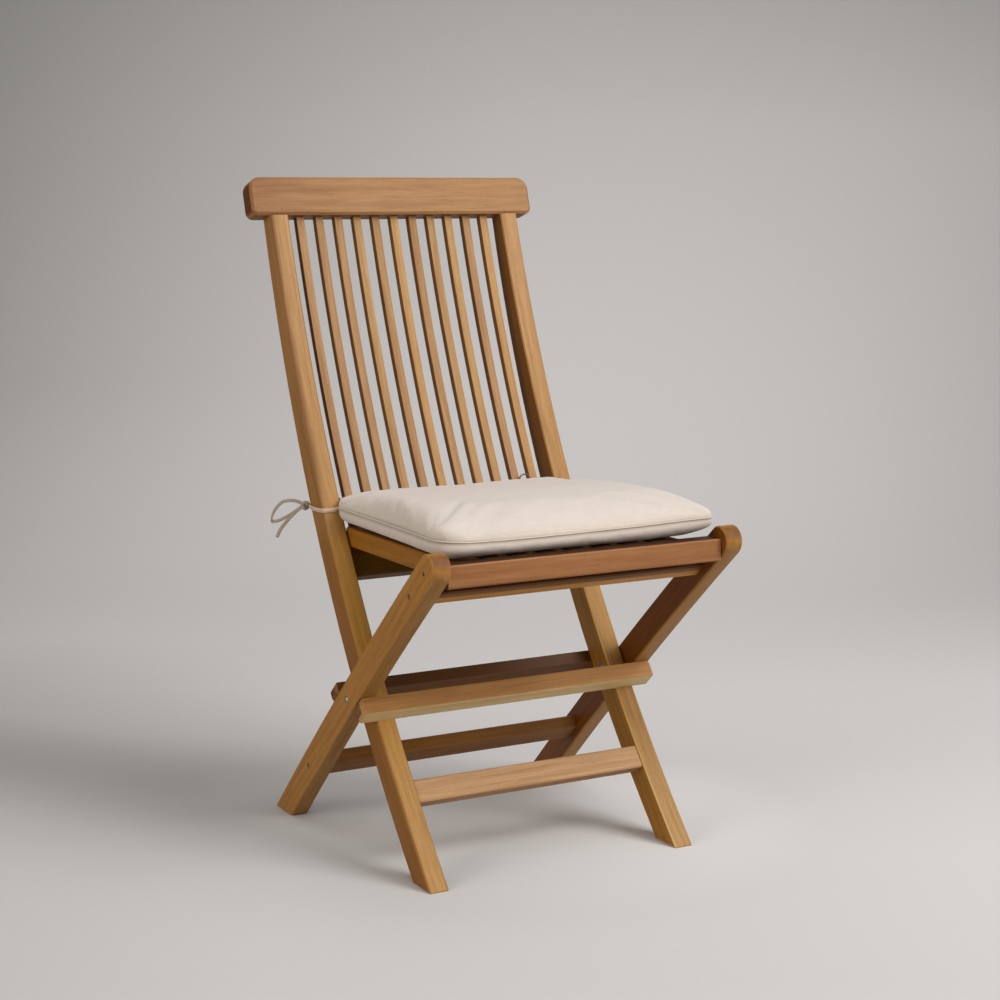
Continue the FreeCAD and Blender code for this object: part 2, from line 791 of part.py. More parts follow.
nodes["rear_stop_bar"] = make_stop_bar(1, rear_bar_along_stile)
nodes["seat_front_rail"] = make_seat_front_rail(seat_slats)
nodes["seat_rear_rail"] = make_seat_rear_rail(seat_slats)
nodes["cushion"] = make_cushion()

os.makedirs("parts", exist_ok=True)
for name, shape in nodes.items():
    shape.exportStep("parts/" + name + ".step")
    box = shape.optimalBoundingBox(False)
    print("%-28s solids %d valid %s volume %9.0f  z %6.1f..%6.1f  y %6.1f..%6.1f" % (
        name, len(shape.Solids), shape.isValid(), shape.Volume, box.ZMin, box.ZMax,
        box.YMin, box.YMax))
print("pivot %.2f %.2f  seat pivot %.2f %.2f  leg lean %.3f" % (
    pivot[0], pivot[1], seat_pivot[0], seat_pivot[1], math.degrees(leg_lean)))
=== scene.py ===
import math
import random

import bpy
from mathutils import Matrix, Vector


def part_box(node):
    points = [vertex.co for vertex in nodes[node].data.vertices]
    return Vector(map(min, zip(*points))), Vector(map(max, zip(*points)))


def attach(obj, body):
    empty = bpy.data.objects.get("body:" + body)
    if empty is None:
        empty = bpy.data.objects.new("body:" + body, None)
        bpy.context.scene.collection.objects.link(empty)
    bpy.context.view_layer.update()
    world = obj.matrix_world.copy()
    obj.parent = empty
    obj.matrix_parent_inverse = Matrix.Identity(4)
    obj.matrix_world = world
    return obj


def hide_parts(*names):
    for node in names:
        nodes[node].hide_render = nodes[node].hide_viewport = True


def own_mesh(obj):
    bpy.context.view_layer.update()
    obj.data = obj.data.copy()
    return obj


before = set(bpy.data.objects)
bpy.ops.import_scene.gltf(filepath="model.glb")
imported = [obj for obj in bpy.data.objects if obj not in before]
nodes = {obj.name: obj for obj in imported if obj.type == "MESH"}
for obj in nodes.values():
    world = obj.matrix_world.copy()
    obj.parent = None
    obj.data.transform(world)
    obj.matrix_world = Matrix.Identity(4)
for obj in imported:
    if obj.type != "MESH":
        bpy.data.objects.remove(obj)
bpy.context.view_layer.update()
scene = bpy.context.scene

# Camera: place in metres, angles in degrees, lens and sensor in millimetres
CAMERA_AT = (-1.2805, -2.4345, 0.86925)
CAMERA_YAW = -28.313
CAMERA_PITCH = -8.265
CAMERA_ROLL = -0.391
CAMERA_LENS = 71.009
SENSOR_WIDTH = 36.0

# Directions as seen from the chair's front
LEFT = (-1, 0, 0)
RIGHT = (1, 0, 0)
AHEAD = (0, -1, 0)
UP = (0, 0, 1)
DOWN = (0, 0, -1)

# Curve of the stiles and back slats, an arc in the YZ plane
STILE_RADIUS = 2.205
STILE_LEAN = math.radians(42.35)
STILE_FOOT_Y = -0.212
ARC_Y = STILE_FOOT_Y - STILE_RADIUS * math.cos(STILE_LEAN)
ARC_Z = STILE_RADIUS * math.sin(STILE_LEAN)
STILE_INNER = 0.175
STILE_OUTER = 0.203
STILE_DEPTH = 0.0415

# Sockets of a mix node that mixes colours
COLOUR_A, COLOUR_B, COLOUR_RESULT = 6, 7, 2


class Graph:
    """Short calls for making a material's nodes."""

    def __init__(self, tree):
        self.tree = tree

    def put(self, node, key, value):
        if isinstance(value, bpy.types.NodeSocket):
            self.tree.links.new(value, node.inputs[key])
        else:
            node.inputs[key].default_value = value

    def add(self, kind, inputs=(), **settings):
        node = self.tree.nodes.new(kind)
        for key, value in settings.items():
            setattr(node, key, value)
        for key, value in dict(inputs).items():
            self.put(node, key, value)
        return node

    def math(self, operation, *values):
        node = self.add("ShaderNodeMath", operation=operation)
        for i, value in enumerate(values):
            self.put(node, i, value)
        return node.outputs[0]

    def product(self, first, *others):
        for other in others:
            first = self.math("MULTIPLY", first, other)
        return first

    def weigh(self, *parts):
        """Sum of values that are given with their shares."""
        total = None
        for value, share in parts:
            part = self.math("MULTIPLY", value, share)
            total = part if total is None else self.math("ADD", total, part)
        return total

    def rest(self, share):
        return self.math("SUBTRACT", 1.0, share)

    def vector(self, operation, a, b):
        node = self.add("ShaderNodeVectorMath", operation=operation)
        self.put(node, 0, a)
        self.put(node, 1, b)
        return node.outputs["Value" if operation == "DOT_PRODUCT" else "Vector"]

    def split(self, vector):
        return self.add("ShaderNodeSeparateXYZ", {"Vector": vector}).outputs

    def join(self, x, y, z):
        return self.add("ShaderNodeCombineXYZ", {"X": x, "Y": y, "Z": z}).outputs[0]

    def noise(self, vector, scale, detail=2.0, roughness=0.5, distortion=0.0):
        stretched = self.vector("MULTIPLY", vector, scale)
        node = self.add("ShaderNodeTexNoise", {
            "Vector": stretched, "Scale": 1.0, "Detail": detail,
            "Roughness": roughness, "Distortion": distortion})
        return node.outputs[0]

    def spread(self, value, low, high, to_low=0.0, to_high=1.0, kind="LINEAR"):
        node = self.add("ShaderNodeMapRange", {
            "Value": value, "From Min": low, "From Max": high,
            "To Min": to_low, "To Max": to_high}, interpolation_type=kind)
        return node.outputs[0]

    def ramp(self, value, stops):
        node = self.add("ShaderNodeValToRGB", {"Fac": value})
        band = node.color_ramp
        while len(band.elements) < len(stops):
            band.elements.new(0.5)
        for element, (place, colour) in zip(band.elements, stops):
            element.position = place
            element.color = (*colour, 1.0)
        return node.outputs[0]

    def mix(self, factor, a, b, blend="MIX"):
        node = self.add("ShaderNodeMix", data_type="RGBA", blend_type=blend)
        self.put(node, 0, factor)
        self.put(node, COLOUR_A, a)
        self.put(node, COLOUR_B, b)
        return node.outputs[COLOUR_RESULT]

    def stain(self, share, colour, change):
        """Multiplies a colour by a change, as far as the share says."""
        return self.mix(share, colour, (*change, 1.0), "MULTIPLY")

    def bump(self, height, strength, distance):
        node = self.add("ShaderNodeBump", {
            "Strength": strength, "Distance": distance, "Height": height})
        return node.outputs[0]


def new_material(name):
    material = bpy.data.materials.new(name)
    material.use_nodes = True
    material.node_tree.nodes.clear()
    graph = Graph(material.node_tree)
    shader = graph.add("ShaderNodeBsdfPrincipled")
    output = graph.add("ShaderNodeOutputMaterial")
    graph.tree.links.new(shader.outputs[0], output.inputs[0])
    return material, graph, shader


# Teak's figure: scales are in cycles per metre along the grain and the two ways across it,
# shares say how much of the figure or of the colour each part makes up
BEND_SCALE = (3.0, 14.0, 14.0)
STREAK_SCALE = (5.0, 130.0, 130.0)
FIBRE_SCALE = (26.0, 900.0, 900.0)
PORE_SCALE = (110.0, 2600.0, 2600.0)
CLOUD_SCALE = (2.2, 9.0, 9.0)
RING_ACROSS = 520.0
RING_DEEP = 300.0
RING_WANDER = 26.0
STREAK_SHARE = 0.52
RING_SHARE = 0.14
FIBRE_SHARE = 0.34
NOISE_RANGE = (0.3, 0.7)
CLOUD_RANGE = (0.35, 0.65)
PORE_RANGE = (0.62, 0.72)
TEAK_TONES = (
    (0.05, (0.302, 0.152, 0.056)),
    (0.34, (0.380, 0.203, 0.082)),
    (0.60, (0.443, 0.246, 0.106)),
    (0.95, (0.520, 0.304, 0.139)))
CLOUD_CHANGE = (0.82, 0.76, 0.68)
CLOUD_SHARE = 0.35
PORE_COLOUR = (0.10, 0.042, 0.014, 1.0)
PORE_SHARE = 0.55
END_GRAIN_CHANGE = (0.38, 0.29, 0.21)
END_GRAIN_SHARE = 0.80
TEAK_ROUGHNESS = (0.60, 0.46)
FIBRE_RAISE = 0.6
PORE_SINK = -0.5


def teak_figure():
    """Node group: oiled teak with its grain along the X of the vector that it gets."""
    tree = bpy.data.node_groups.new("teak_figure", "ShaderNodeTree")
    for label, way, kind in (
            ("Grain", "INPUT", "Vector"), ("Face", "INPUT", "Float"), ("Tint", "INPUT", "Color"),
            ("Color", "OUTPUT", "Color"), ("Roughness", "OUTPUT", "Float"),
            ("Height", "OUTPUT", "Float")):
        tree.interface.new_socket(label, in_out=way, socket_type="NodeSocket" + kind)
    g = Graph(tree)
    given = g.add("NodeGroupInput")
    grain, end, tint = given.outputs[0], given.outputs[1], given.outputs[2]

    bend = g.noise(grain, BEND_SCALE)
    parts = g.split(grain)
    across = g.weigh((parts[1], RING_ACROSS), (parts[2], RING_DEEP))
    wander = g.math("MULTIPLY", bend, RING_WANDER)
    ring = g.math("SINE", g.math("ADD", across, wander))
    ring = g.spread(ring, -1.0, 1.0)
    streak = g.noise(grain, STREAK_SCALE, detail=4.0, roughness=0.6, distortion=0.4)
    fibre = g.noise(grain, FIBRE_SCALE, detail=3.0, roughness=0.65)
    pore = g.spread(g.noise(grain, PORE_SCALE), *PORE_RANGE)
    cloud = g.noise(grain, CLOUD_SCALE)

    figure = g.weigh((g.spread(streak, *NOISE_RANGE), STREAK_SHARE), (ring, RING_SHARE),
                     (g.spread(fibre, *NOISE_RANGE), FIBRE_SHARE))
    wood = g.ramp(figure, TEAK_TONES)
    wood = g.stain(g.spread(cloud, *CLOUD_RANGE, 0.0, CLOUD_SHARE), wood, CLOUD_CHANGE)
    wood = g.mix(g.math("MULTIPLY", pore, PORE_SHARE), wood, PORE_COLOUR)
    wood = g.stain(g.math("MULTIPLY", end, END_GRAIN_SHARE), wood, END_GRAIN_CHANGE)
    wood = g.mix(1.0, wood, tint, "MULTIPLY")
    roughness = g.spread(fibre, *NOISE_RANGE, *TEAK_ROUGHNESS)
    height = g.weigh((fibre, FIBRE_RAISE), (pore, PORE_SINK))
    out = g.add("NodeGroupOutput")
    for key, value in enumerate((wood, roughness, height)):
        g.put(out, key, value)
    return tree


TEAK_FIGURE = teak_figure()
LOG_REACH = 5               # a piece's place in the log is drawn from this far either way
END_FACING = (0.80, 0.97)   # how far a face looks along the grain: not at all, all end grain
TINT_HEIGHTS = (0.25, 0.75)
FACE_FADE = (0.6, 0.95)
BAND_FACE_FADE = (0.2, 0.7)
BAND_RISE = 0.08


def teak(name, grain, seed, tint=(1.0, 1.0, 1.0), curved=False, low_tint=None, faces=(),
         bands=()):
    """Teak whose grain runs along a direction, or along the stiles' curve.

    Painted shade and light differ from face to face of a piece: faces lists directions, each with
    the colour by which the faces that look that way differ, and bands lists changes that fade in
    across a face, as (direction, plain up to, full at, colour, lowest height, the way the face
    looks).
    """
    material, g, shader = new_material(name)
    place = g.add("ShaderNodeTexCoord")
    spot, normal = place.outputs["Object"], place.outputs["Normal"]
    if curved:
        parts = g.split(spot)
        ahead = g.math("SUBTRACT", parts[1], ARC_Y)
        below = g.math("SUBTRACT", ARC_Z, parts[2])
        turn = g.math("ARCTAN2", below, ahead)
        reach = g.math("SQRT", g.weigh((ahead, ahead), (below, below)))
        along = g.join(g.math("MULTIPLY", turn, STILE_RADIUS), parts[0],
                       g.math("SUBTRACT", reach, STILE_RADIUS))
    else:
        turn = Vector(grain).rotation_difference(Vector(RIGHT)).to_euler()
        along = g.add("ShaderNodeMapping", {"Vector": spot, "Rotation": tuple(turn)}).outputs[0]
    luck = random.Random(seed)
    shift = tuple(luck.uniform(-LOG_REACH, LOG_REACH) for _ in range(3))
    along = g.vector("ADD", along, shift)
    facing = g.vector("DOT_PRODUCT", normal, tuple(Vector(grain).normalized()))
    wood = g.add("ShaderNodeGroup", node_tree=TEAK_FIGURE)
    g.put(wood, "Grain", along)
    g.put(wood, "Face", g.spread(g.math("ABSOLUTE", facing), *END_FACING))
    g.put(wood, "Tint", (*tint, 1.0))
    if low_tint:
        rise = g.spread(g.split(spot)[2], *TINT_HEIGHTS)
        g.put(wood, "Tint", g.mix(rise, (*low_tint, 1.0), (*tint, 1.0)))
    colour = wood.outputs["Color"]
    # Painted shade and light on faces that look a given way, and in bands across faces
    for direction, change in faces:
        facing = g.vector("DOT_PRODUCT", normal, direction)
        colour = g.stain(g.spread(facing, *FACE_FADE), colour, change)
    for direction, near, far, change, floor_z, side in bands:
        reach = g.vector("DOT_PRODUCT", spot, direction)
        facing = g.vector("DOT_PRODUCT", normal, side)
        share = g.product(g.spread(reach, near, far), g.spread(facing, *BAND_FACE_FADE),
                          g.spread(g.split(spot)[2], floor_z, floor_z + BAND_RISE))
        colour = g.stain(share, colour, change)
    g.put(shader, "Base Color", colour)
    g.put(shader, "Roughness", wood.outputs["Roughness"])
    g.put(shader, "Normal", g.bump(wood.outputs["Height"], strength=0.22, distance=0.0004))
    g.put(shader, "Specular IOR Level", 0.28)
    return material


# Steel of the bolts, nuts, washers and pins
SCRATCH_SCALE = (300.0, 2500.0, 9000.0)
STEEL_TONES = ((0.3, (0.30, 0.29, 0.28)), (0.7, (0.46, 0.45, 0.43)))
STEEL_ROUGHNESS = (0.28, 0.46)


def brushed_steel():
    material, g, shader = new_material("steel_brushed")
    place = g.add("ShaderNodeTexCoord").outputs["Object"]
    scratch = g.noise(place, SCRATCH_SCALE, detail=3.0, roughness=0.6)
    g.put(shader, "Base Color", g.ramp(scratch, STEEL_TONES))
    g.put(shader, "Roughness", g.spread(scratch, *NOISE_RANGE, *STEEL_ROUGHNESS))
    g.put(shader, "Normal", g.bump(scratch, strength=0.2, distance=0.0001))
    g.put(shader, "Metallic", 1.0)
    return material


# Canvas: colours of the cushion and the tapes, and changes of them, which paint shade on the seam,
# the sides and the underside
CREAM = (0.662, 0.598, 0.562)
CREAM_SHADE = (0.600, 0.535, 0.487)
CREAM_SIDE_PAINTED_SHADE = (0.945, 0.915, 0.855)
CREAM_UNDER_PAINTED_SHADE = (0.28, 0.21, 0.15)
SEAM_PAINTED_SHADE = (0.42, 0.37, 0.31)
SEAM_SHARE = 0.75
TIE_COLOUR = (0.440, 0.370, 0.280)
TIE_SHADE = (0.270, 0.220, 0.160)
STRAP_COLOUR = (0.640, 0.480, 0.370)
STRAP_SHADE = (0.480, 0.350, 0.255)
TAPE_END_COLOUR = (0.260, 0.190, 0.130)
TAPE_END_SHADE = (0.170, 0.120, 0.080)
WEAVE_PITCH = 0.0011
SLUB_SCALE = (60.0, 420.0, 420.0)
CROSS_SCALE = (420.0, 60.0, 420.0)
SOIL_SCALE = (9.0, 9.0, 9.0)
SHADE_AT = 0.30
COLOUR_AT = 0.62
SIDE_FACING = (0.99, 0.55)
UNDER_FACING = (-0.86, -0.97)
CLOTH_ROUGHNESS = (0.3, 0.6, 0.96, 0.86)


def canvas(name, colour, shade, seam=False, side_shade=None):
    """Plain woven canvas; the weave is laid on from three sides."""
    material, g, shader = new_material(name)
    place = g.add("ShaderNodeTexCoord")
    spot = place.outputs["Object"]
    pitch = 2 * math.pi / WEAVE_PITCH
    parts = g.split(g.vector("MULTIPLY", spot, (pitch, pitch, pitch)))
    wave = [g.math("SINE", parts[i]) for i in range(3)]
    facing = g.split(place.outputs["Normal"])
    weave = g.weigh(*(
        (g.math("MULTIPLY", wave[(i + 1) % 3], wave[(i + 2) % 3]),
         g.math("MULTIPLY", facing[i], facing[i])) for i in range(3)))
    slub = g.noise(spot, SLUB_SCALE, detail=3.0, roughness=0.6)
    cross = g.noise(spot, CROSS_SCALE, detail=3.0, roughness=0.6)
    soil = g.noise(spot, SOIL_SCALE, detail=3.0)
    threads = g.weigh((slub, 0.5), (cross, 0.5))
    tone = g.weigh((threads, 0.7), (soil, 0.3), (weave, 0.05))
    cloth = g.ramp(tone, ((SHADE_AT, shade), (COLOUR_AT, colour)))
    # Painted shade along the seam's line
    if seam:
        line = g.add("ShaderNodeAttribute", attribute_name="seam").outputs["Fac"]
        cloth = g.stain(g.math("MULTIPLY", line, SEAM_SHARE), cloth, SEAM_PAINTED_SHADE)
    # Painted shade on the cloth's sides and underside
    if side_shade:
        cloth = g.stain(g.spread(facing[2], *SIDE_FACING), cloth, side_shade)
        cloth = g.stain(g.spread(facing[2], *UNDER_FACING), cloth, CREAM_UNDER_PAINTED_SHADE)
    height = g.weigh((weave, 0.35), (tone, 1.2))
    g.put(shader, "Base Color", cloth)
    g.put(shader, "Roughness", g.spread(tone, *CLOTH_ROUGHNESS))
    g.put(shader, "Normal", g.bump(height, strength=0.35, distance=0.0004))
    g.put(shader, "Specular IOR Level", 0.25)
    g.put(shader, "Sheen Weight", 0.12)
    g.put(shader, "Sheen Roughness", 0.5)
    return material


# Wood: each piece has its own direction of grain, place in the log and tint
WOOD_TINTS = (
    (0.95, 0.96, 0.84), (0.93, 0.90, 0.82), (0.84, 0.85, 0.66), (1.00, 1.02, 0.86),
    (0.84, 0.80, 0.68), (1.04, 1.02, 0.84), (0.88, 0.86, 0.80))
# The back rail's and the rear stop bar's tints are darkened with painted shade
NAMED_TINTS = {
    "front_stretcher": (1.16, 1.21, 1.30), "rear_stretcher": (0.62, 0.46, 0.15),
    "front_stop_bar": (0.90, 0.75, 0.45), "rear_stop_bar": (0.50, 0.34, 0.06),
    "seat_front_rail": (0.77, 0.59, 0.48), "upper_leg_rail": (1.10, 0.90, 0.42),
    "crest_rail": (0.86, 0.79, 0.68), "back_rail": (0.54, 0.46, 0.05),
    "seat_side_rail_left": (0.72, 0.51, 0.08), "seat_side_rail_right": (0.72, 0.51, 0.08),
    "leg_left": (0.86, 0.70, 0.28), "leg_right": (0.86, 0.70, 0.28),
    "stile_left": (0.99, 0.97, 0.84), "stile_right": (0.97, 0.94, 0.82)}
STILE_LOW_TINT = (0.89, 0.80, 0.41)
PEG_TINT = (0.62, 0.55, 0.50)
PEG_SEED = 900
STILE_GRAIN = (0, 0.5, 0.87)
LEG_GRAIN = Vector((0.0, -0.7446, 0.6675))
DEPTH_GRAIN = (0, 1, 0)
WIDTH_GRAIN = (1, 0, 0)
UNDER_LEG = (0.0, -0.6675, -0.7446)

# Painted shade and light: changes of colour on faces that look another way than ahead
UNDERSIDE_PAINTED_SHADE = (0.50, 0.38, 0.22)
STILE_INNER_PAINTED_SHADE = (0.43, 0.31, 0.09)
LEG_INNER_PAINTED_SHADE = (0.50, 0.33, 0.05)
LEG_FRONT_PAINTED_SHADING = (0.86, 0.92, 1.20)
SLAT_SIDE_PAINTED_SHADE = (0.50, 0.38, 0.20)
CREST_END_PAINTED_SHADE = (0.64, 0.44, 0.24)
NAMED_FACES = {
    "crest_rail": ((LEFT, CREST_END_PAINTED_SHADE), (RIGHT, CREST_END_PAINTED_SHADE)),
    # Painted shade on the back rail's and rear stop bar's fronts, painted light on the front stop
    # bar's front, painted shade on the left stile's outer face
    "back_rail": ((AHEAD, (0.36, 0.32, 0.10)),),
    "rear_stop_bar": ((AHEAD, (0.32, 0.26, 0.12)),),
    "front_stop_bar": ((UNDER_LEG, (1.62, 2.50, 4.60)),),
    "stile_left": ((LEFT, (0.82, 0.73, 0.60)),)}

# Bands of painted shade and light, as teak() takes them: (direction, plain up to, full at, change,
# lowest height, the way the face looks), in metres along the direction
ANY_HEIGHT = -1.0
BELOW_SEAT = (DOWN, -0.44, -0.41)
NAMED_BANDS = {
    # Painted shade on the left part of the crest rail's front
    "crest_rail": ((LEFT, 0.06, 0.21, (0.78, 0.70, 0.63), ANY_HEIGHT, AHEAD),),
    # Left stile: painted shade at the front's outer edge above the seat, painted light on the front
    # below the seat, a colour change towards the foot, painted shade on the outer face below the
    # seat
    "stile_left": (
        (LEFT, 0.1925, 0.2010, (0.60, 0.50, 0.38), 0.44, AHEAD),
        (*BELOW_SEAT, (1.32, 1.34, 1.08), ANY_HEIGHT, AHEAD),
        (DOWN, -0.22, -0.08, (0.91, 0.96, 1.54), ANY_HEIGHT, AHEAD),
        (*BELOW_SEAT, (0.82, 0.72, 0.44), ANY_HEIGHT, LEFT)),
    # Right stile: painted light on the front below the seat, a painted shadow under the front stop
    # bar, painted light lower down, and painted light on the inner face below the seat
    "stile_right": (
        (*BELOW_SEAT, (1.13, 1.17, 1.24), ANY_HEIGHT, AHEAD),
        (DOWN, -0.245, -0.215, (0.70, 0.65, 0.48), ANY_HEIGHT, AHEAD),
        (DOWN, -0.16, -0.06, (1.40, 1.65, 3.20), ANY_HEIGHT, AHEAD),
        (*BELOW_SEAT, (2.00, 2.45, 3.40), ANY_HEIGHT, LEFT))}

# Shadow of the cushion on the seat's wood, from just behind the front edge
CONTACT_SET_BACK = 0.0018
CONTACT_FADE = 0.0015
CONTACT_CHANGE = (0.15, 0.11, 0.07)
RAIL_EDGE = -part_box("seat_front_rail")[0][1] - CONTACT_SET_BACK

# Shadow of the seat on the upper part of the rail between the legs, from its middle
RAIL_SHADOW = (-0.001, 0.004)
RAIL_SHADOW_CHANGE = (0.30, 0.22, 0.12)


def painted_light_and_shade(name, piece_box):
    """The painted shade and light of a piece: its faces and bands that differ from its front, for
    teak().
    """
    faces, bands = [], list(NAMED_BANDS.get(name, ()))
    inner = RIGHT if name.endswith("_left") else LEFT
    if not name.startswith("leg_") and name not in ("upper_leg_rail", "front_stop_bar"):
        faces.append((DOWN, UNDERSIDE_PAINTED_SHADE))
    if name.startswith("stile_"):
        faces.append((inner, STILE_INNER_PAINTED_SHADE))
    elif name.startswith("leg_"):
        faces += [(inner, LEG_INNER_PAINTED_SHADE), (UNDER_LEG, LEG_FRONT_PAINTED_SHADING)]
    elif name.startswith("back_slat_"):
        faces += [(LEFT, SLAT_SIDE_PAINTED_SHADE), (RIGHT, SLAT_SIDE_PAINTED_SHADE)]
    elif name == "seat_front_rail" or name.startswith("seat_slat_"):
        bands.append((AHEAD, RAIL_EDGE, RAIL_EDGE - CONTACT_FADE, CONTACT_CHANGE, ANY_HEIGHT, UP))
    elif name == "upper_leg_rail":
        low, high = (Vector(corner) for corner in piece_box)
        middle = ((low + high) / 2).dot(LEG_GRAIN)
        near, far = (middle + reach for reach in RAIL_SHADOW)
        bands.append((tuple(LEG_GRAIN), near, far, RAIL_SHADOW_CHANGE, ANY_HEIGHT, AHEAD))
    faces += NAMED_FACES.get(name, ())
    return faces, bands


def grain_of(name):
    """Direction of a piece's grain, and whether it follows the stiles' curve."""
    if name.startswith(("stile_", "back_slat_")):
        return STILE_GRAIN, True
    if name.startswith("leg_"):
        return tuple(LEG_GRAIN), False
    if name.startswith(("seat_side_rail_", "seat_slat_")):
        return DEPTH_GRAIN, False
    return WIDTH_GRAIN, False


# Edges of the wood: a usual radius, and wider ones by piece
EDGE_ROUND = 0.0007
EDGE_ROUNDS = {"crest_rail": 0.0023, "seat_front_rail": 0.0014, "front_stop_bar": 0.0012}
EDGE_ANGLE = math.radians(28)
WELD_REACH = 0.00001


def soften(piece, width):
    """Rounds the sharp edges of a CAD piece by a hair, as sanding does."""
    weld = piece.modifiers.new("weld", "WELD")
    weld.merge_threshold = WELD_REACH
    bevel = piece.modifiers.new("edge", "BEVEL")
    bevel.width = width
    bevel.segments = 3
    bevel.limit_method = "ANGLE"
    bevel.angle_limit = EDGE_ANGLE
    bevel.harden_normals = True


steel = brushed_steel()
peg_wood = teak("teak_peg", WIDTH_GRAIN, PEG_SEED, PEG_TINT)
for count, (name, piece) in enumerate(sorted(nodes.items())):
    if name.startswith(("pivot_", "seat_pin_")):
        piece.material_slots[0].material = steel
    elif "_peg_" in name:
        piece.material_slots[0].material = peg_wood
    elif not name.startswith(("cushion", "tie_")):
        direction, curved = grain_of(name)
        drawn = WOOD_TINTS[random.Random(name).randrange(len(WOOD_TINTS))]
        low_tint = STILE_LOW_TINT if name.startswith("stile_") else None
        faces, bands = painted_light_and_shade(name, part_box(name))
        piece.material_slots[0].material = teak(
            "teak_" + name, direction, count, NAMED_TINTS.get(name, drawn), curved, low_tint,
            faces, bands)
        soften(piece, EDGE_ROUNDS.get(name, EDGE_ROUND))
for name, piece in nodes.items():
    if name.startswith(("back_rail_peg_", "front_stretcher_peg_")):
        host = "teak_stile_" + name.rsplit("_", 1)[1]
        piece.material_slots[0].material = bpy.data.materials[host]


def stile_front(z):
    """Y of the stiles' front and rear at a height."""
    lean = math.asin(math.sin(STILE_LEAN) - z / STILE_RADIUS)
    middle = ARC_Y + STILE_RADIUS * math.cos(lean)
    return middle - STILE_DEPTH / 2 / math.cos(lean), middle + STILE_DEPTH / 2 / math.cos(lean)


# Cushion: its outline, in metres. Corners are keyed by side (-1 left) and end (-1 front).
SEAT_TOP = 0.4403
CUSHION_FRONT = -0.2795
CUSHION_REAR = 0.1065
CUSHION_LENGTH = CUSHION_REAR - CUSHION_FRONT
CUSHION_HALF_FRONT = 0.2020
CUSHION_HALF_REAR = 0.1835
CORNER_RADII = {(-1, -1): 0.042, (1, -1): 0.014, (-1, 1): 0.028, (1, 1): 0.040}
SIDE_HOLLOW = 0.003
FRONT_HOLLOW = 0.0030
FRONT_HOLLOW_REACH = 0.1
EAR_PULL = (0.0004, -0.0078)
EAR_REACH = 0.055
LOW_EAR_REACH = 0.11
NIP_GAP = 0.0008
NIP_START = 0.003
NIP_SLOPE = 1.4

# Heights of the seam and the crown: a drop or lift goes with smooth() over a run from a place
SEAM_Z = 0.4645
SEAM_SAG = 0.0055
SEAM_SAG_RUN = 0.13
SEAM_LIFT = 0.0028
SEAM_LIFT_FROM = -0.18
SEAM_LIFT_RUN = 0.22
SEAM_FALL = 0.0015
SEAM_FALL_RUN = 0.3
CROWN_Z = 0.4955
CROWN_DROP = 0.0130
CROWN_DROP_FROM = -0.14
CROWN_DROP_RUN = 0.22

# How far in from the seam the panels are rounded, and how far their sides bulge
TOP_ROUND = 0.088
TOP_ROUND_REAR = 0.052
TOP_ROUND_LEFT = 0.024
TOP_ROUND_RIGHT = 0.032
TOP_ROUND_CORNER = 0.030
TOP_CORNER_RUN = 0.14
TOP_ROUND_BACK = 0.018
TOP_BACK_RUN = 0.10
LOW_ROUND = 0.020
LOW_ROUND_EAR = 0.046
TOP_BULGE = 0.0012
LOW_BULGE = 0.0046
FLAT_FROM = 0.97

# The grid: columns in half widths, rows in metres, both closer together near the seam
ROUND_STEPS = 9
COLUMN_EDGE = 0.17
COLUMN_STEP = 0.024
ROW_EDGE_FRONT = 0.030
ROW_EDGE_REAR = 0.034
ROW_STEP = 0.0046


def smooth(value):
    value = min(1.0, max(0.0, value))
    return value * value * (3 - 2 * value)


def edge_stations(length, near, far, step):
    """Places from 0 to a length, close together on the rounded edges."""
    made = []
    for i in range(ROUND_STEPS):
        made.append(near * (1 - math.cos(math.pi / 2 * i / ROUND_STEPS)))
    count = round((length - near - far) / step)
    for i in range(count + 1):
        made.append(near + (length - near - far) * i / count)
    for i in reversed(range(ROUND_STEPS)):
        made.append(length - far * (1 - math.cos(math.pi / 2 * i / ROUND_STEPS)))
    return made


def fullness(distance, radius):
    """Share of the full thickness at a distance from the seam, on a round edge."""
    left = 1 - min(1.0, distance / radius)
    return math.sqrt(1 - left * left)


def both(a, b):
    """Joins the shares from two edges: the smaller one, eased where they are alike."""
    if a * b == 0:
        return 0.0
    return (a ** -3 + b ** -3 - 1) ** (-1 / 3)


def clear_of_stile(x, y, z):
    """The rear corners are nipped where they meet the stiles."""
    ahead = max(0.0, stile_front(z)[0] - NIP_START - y)
    reach = STILE_INNER - NIP_GAP + NIP_SLOPE * ahead
    return math.copysign(min(abs(x), reach), x)


def half_width(y):
    share = (y - CUSHION_FRONT) / (CUSHION_REAR - CUSHION_FRONT)
    straight = CUSHION_HALF_FRONT + (CUSHION_HALF_REAR - CUSHION_HALF_FRONT) * share
    return straight - SIDE_HOLLOW * math.sin(math.pi * share)


def crown(y):
    return CROWN_Z - CROWN_DROP * smooth((y - CROWN_DROP_FROM) / CROWN_DROP_RUN)


def seam_height(x, y):
    """The seam sags in the middle of the front, rises to the right and falls to the rear."""
    front = max(0.0, 1 - (y - CUSHION_FRONT) / SEAM_SAG_RUN) ** 2
    lift = SEAM_LIFT * smooth((x - SEAM_LIFT_FROM) / SEAM_LIFT_RUN)
    sag = (SEAM_SAG * (1 - (x / half_width(y)) ** 2) - lift) * front
    return SEAM_Z - sag - SEAM_FALL * smooth((y - CUSHION_FRONT) / SEAM_FALL_RUN)


